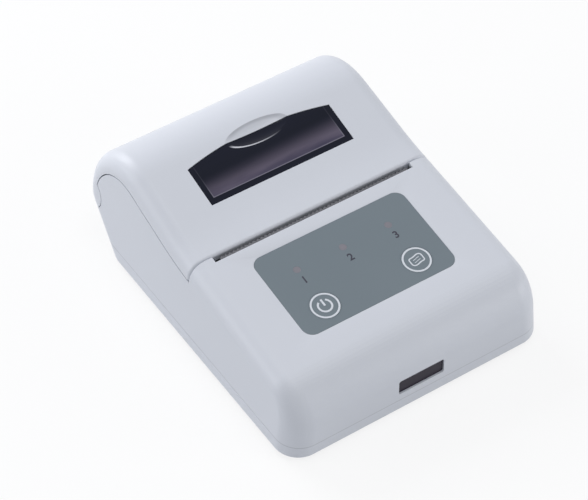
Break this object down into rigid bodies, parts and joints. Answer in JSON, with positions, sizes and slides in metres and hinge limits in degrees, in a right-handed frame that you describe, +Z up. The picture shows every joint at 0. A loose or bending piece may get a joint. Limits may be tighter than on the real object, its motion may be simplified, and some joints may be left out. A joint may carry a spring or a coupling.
{
  "type": "portable thermal printer",
  "caption": "Small battery-run receipt printer with a drafted white case, a hinged rear cover with a smoked window, a serrated paper slot and a sloping key panel.",
  "frame": {"origin": "centre of the footprint, on the surface it stands on", "axes": "+X to the printer's right seen from the front, +Y to the rear hinge, +Z up"},
  "size_m": [0.0788, 0.1, 0.0349],
  "materials": {
    "case_plastic": "fine spark-eroded texture, satin",
    "lens_smoke": "polished smoked polycarbonate",
    "panel_film": "matt printed polyester film",
    "key_film": "matt film with white printed ring",
    "led_resin": "clear tinted resin",
    "foot_rubber": "soft black rubber",
    "platen_rubber": "ground rubber",
    "steel": "ground and zinc plated",
    "gear_nylon": "moulded natural acetal",
    "pinion_brass": "turned brass",
    "frame_plastic": "black moulded plastic",
    "board_green": "solder mask",
    "chip_black": "moulded epoxy",
    "switch_metal": "stamped cover",
    "battery_wrap": "shrink film",
    "head_ceramic": "glazed alumina strip",
    "sink_aluminium": "milled",
    "socket_black": "moulded",
    "port_dark": "dark infrared filter",
    "motor_steel": "drawn can"
  },
  "bodies": {
    "case": {"lower_case": "case_plastic", "upper_case": "case_plastic", "battery_door": "case_plastic", "key_panel": "panel_film", "light_pipes": "led_resin", "feet": "foot_rubber", "case_screws": "steel", "hinge_pin": "steel", "idler_axle": "steel", "head_springs": "steel", "tear_bar": "steel", "works_frame": "frame_plastic", "hinge_lugs": "frame_plastic", "paper_bay": "frame_plastic", "main_board": "board_green", "board_chips": "chip_black", "key_switches": "switch_metal", "battery_pack": "battery_wrap", "print_head": "head_ceramic", "heat_sink": "sink_aluminium", "data_socket": "switch_metal", "charge_jack": "socket_black", "port_window": "port_dark", "motor_body": "motor_steel", "paper_sensor": "chip_black"},
    "cover": {"paper_cover": "case_plastic", "cover_lens": "lens_smoke", "platen_brackets": "frame_plastic"},
    "platen": {"platen_shaft": "steel", "platen_rubber": "platen_rubber", "platen_gear": "gear_nylon"},
    "idler": {"idler_gear": "gear_nylon"},
    "pinion": {"motor_pinion": "pinion_brass", "motor_shaft": "steel"},
    "power_button": {"power_key": "key_film"},
    "feed_button": {"feed_key": "key_film"}
  },
  "joints": [
    {"name": "cover_hinge", "type": "hinge", "parent": "case", "child": "cover", "pos_m": [0, 0.0468, 0.0154], "axis": [-1, 0, 0], "range_deg": [0, 92]},
    {"name": "platen_spin", "type": "hinge", "parent": "cover", "child": "platen", "pos_m": [0, 0.004, 0.0206], "axis": [1, 0, 0], "continuous": true},
    {"name": "idler_spin", "type": "hinge", "parent": "case", "child": "idler", "pos_m": [0, 0.00273, 0.01012], "axis": [1, 0, 0], "continuous": true},
    {"name": "pinion_spin", "type": "hinge", "parent": "case", "child": "pinion", "pos_m": [0, -0.00575, 0.00893], "axis": [1, 0, 0], "continuous": true},
    {"name": "power_press", "type": "slide", "parent": "case", "child": "power_button", "axis": [0, 0.1372, -0.9905], "range_m": [0, 0.00035], "stiffness_N_per_m": 400},
    {"name": "feed_press", "type": "slide", "parent": "case", "child": "feed_button", "axis": [0, 0.1372, -0.9905], "range_m": [0, 0.00035], "stiffness_N_per_m": 400}
  ],
  "couplings": [
    {"joint": "idler_spin", "follows": "platen_spin", "ratio": -0.75},
    {"joint": "pinion_spin", "follows": "platen_spin", "ratio": 1.8}
  ]
}
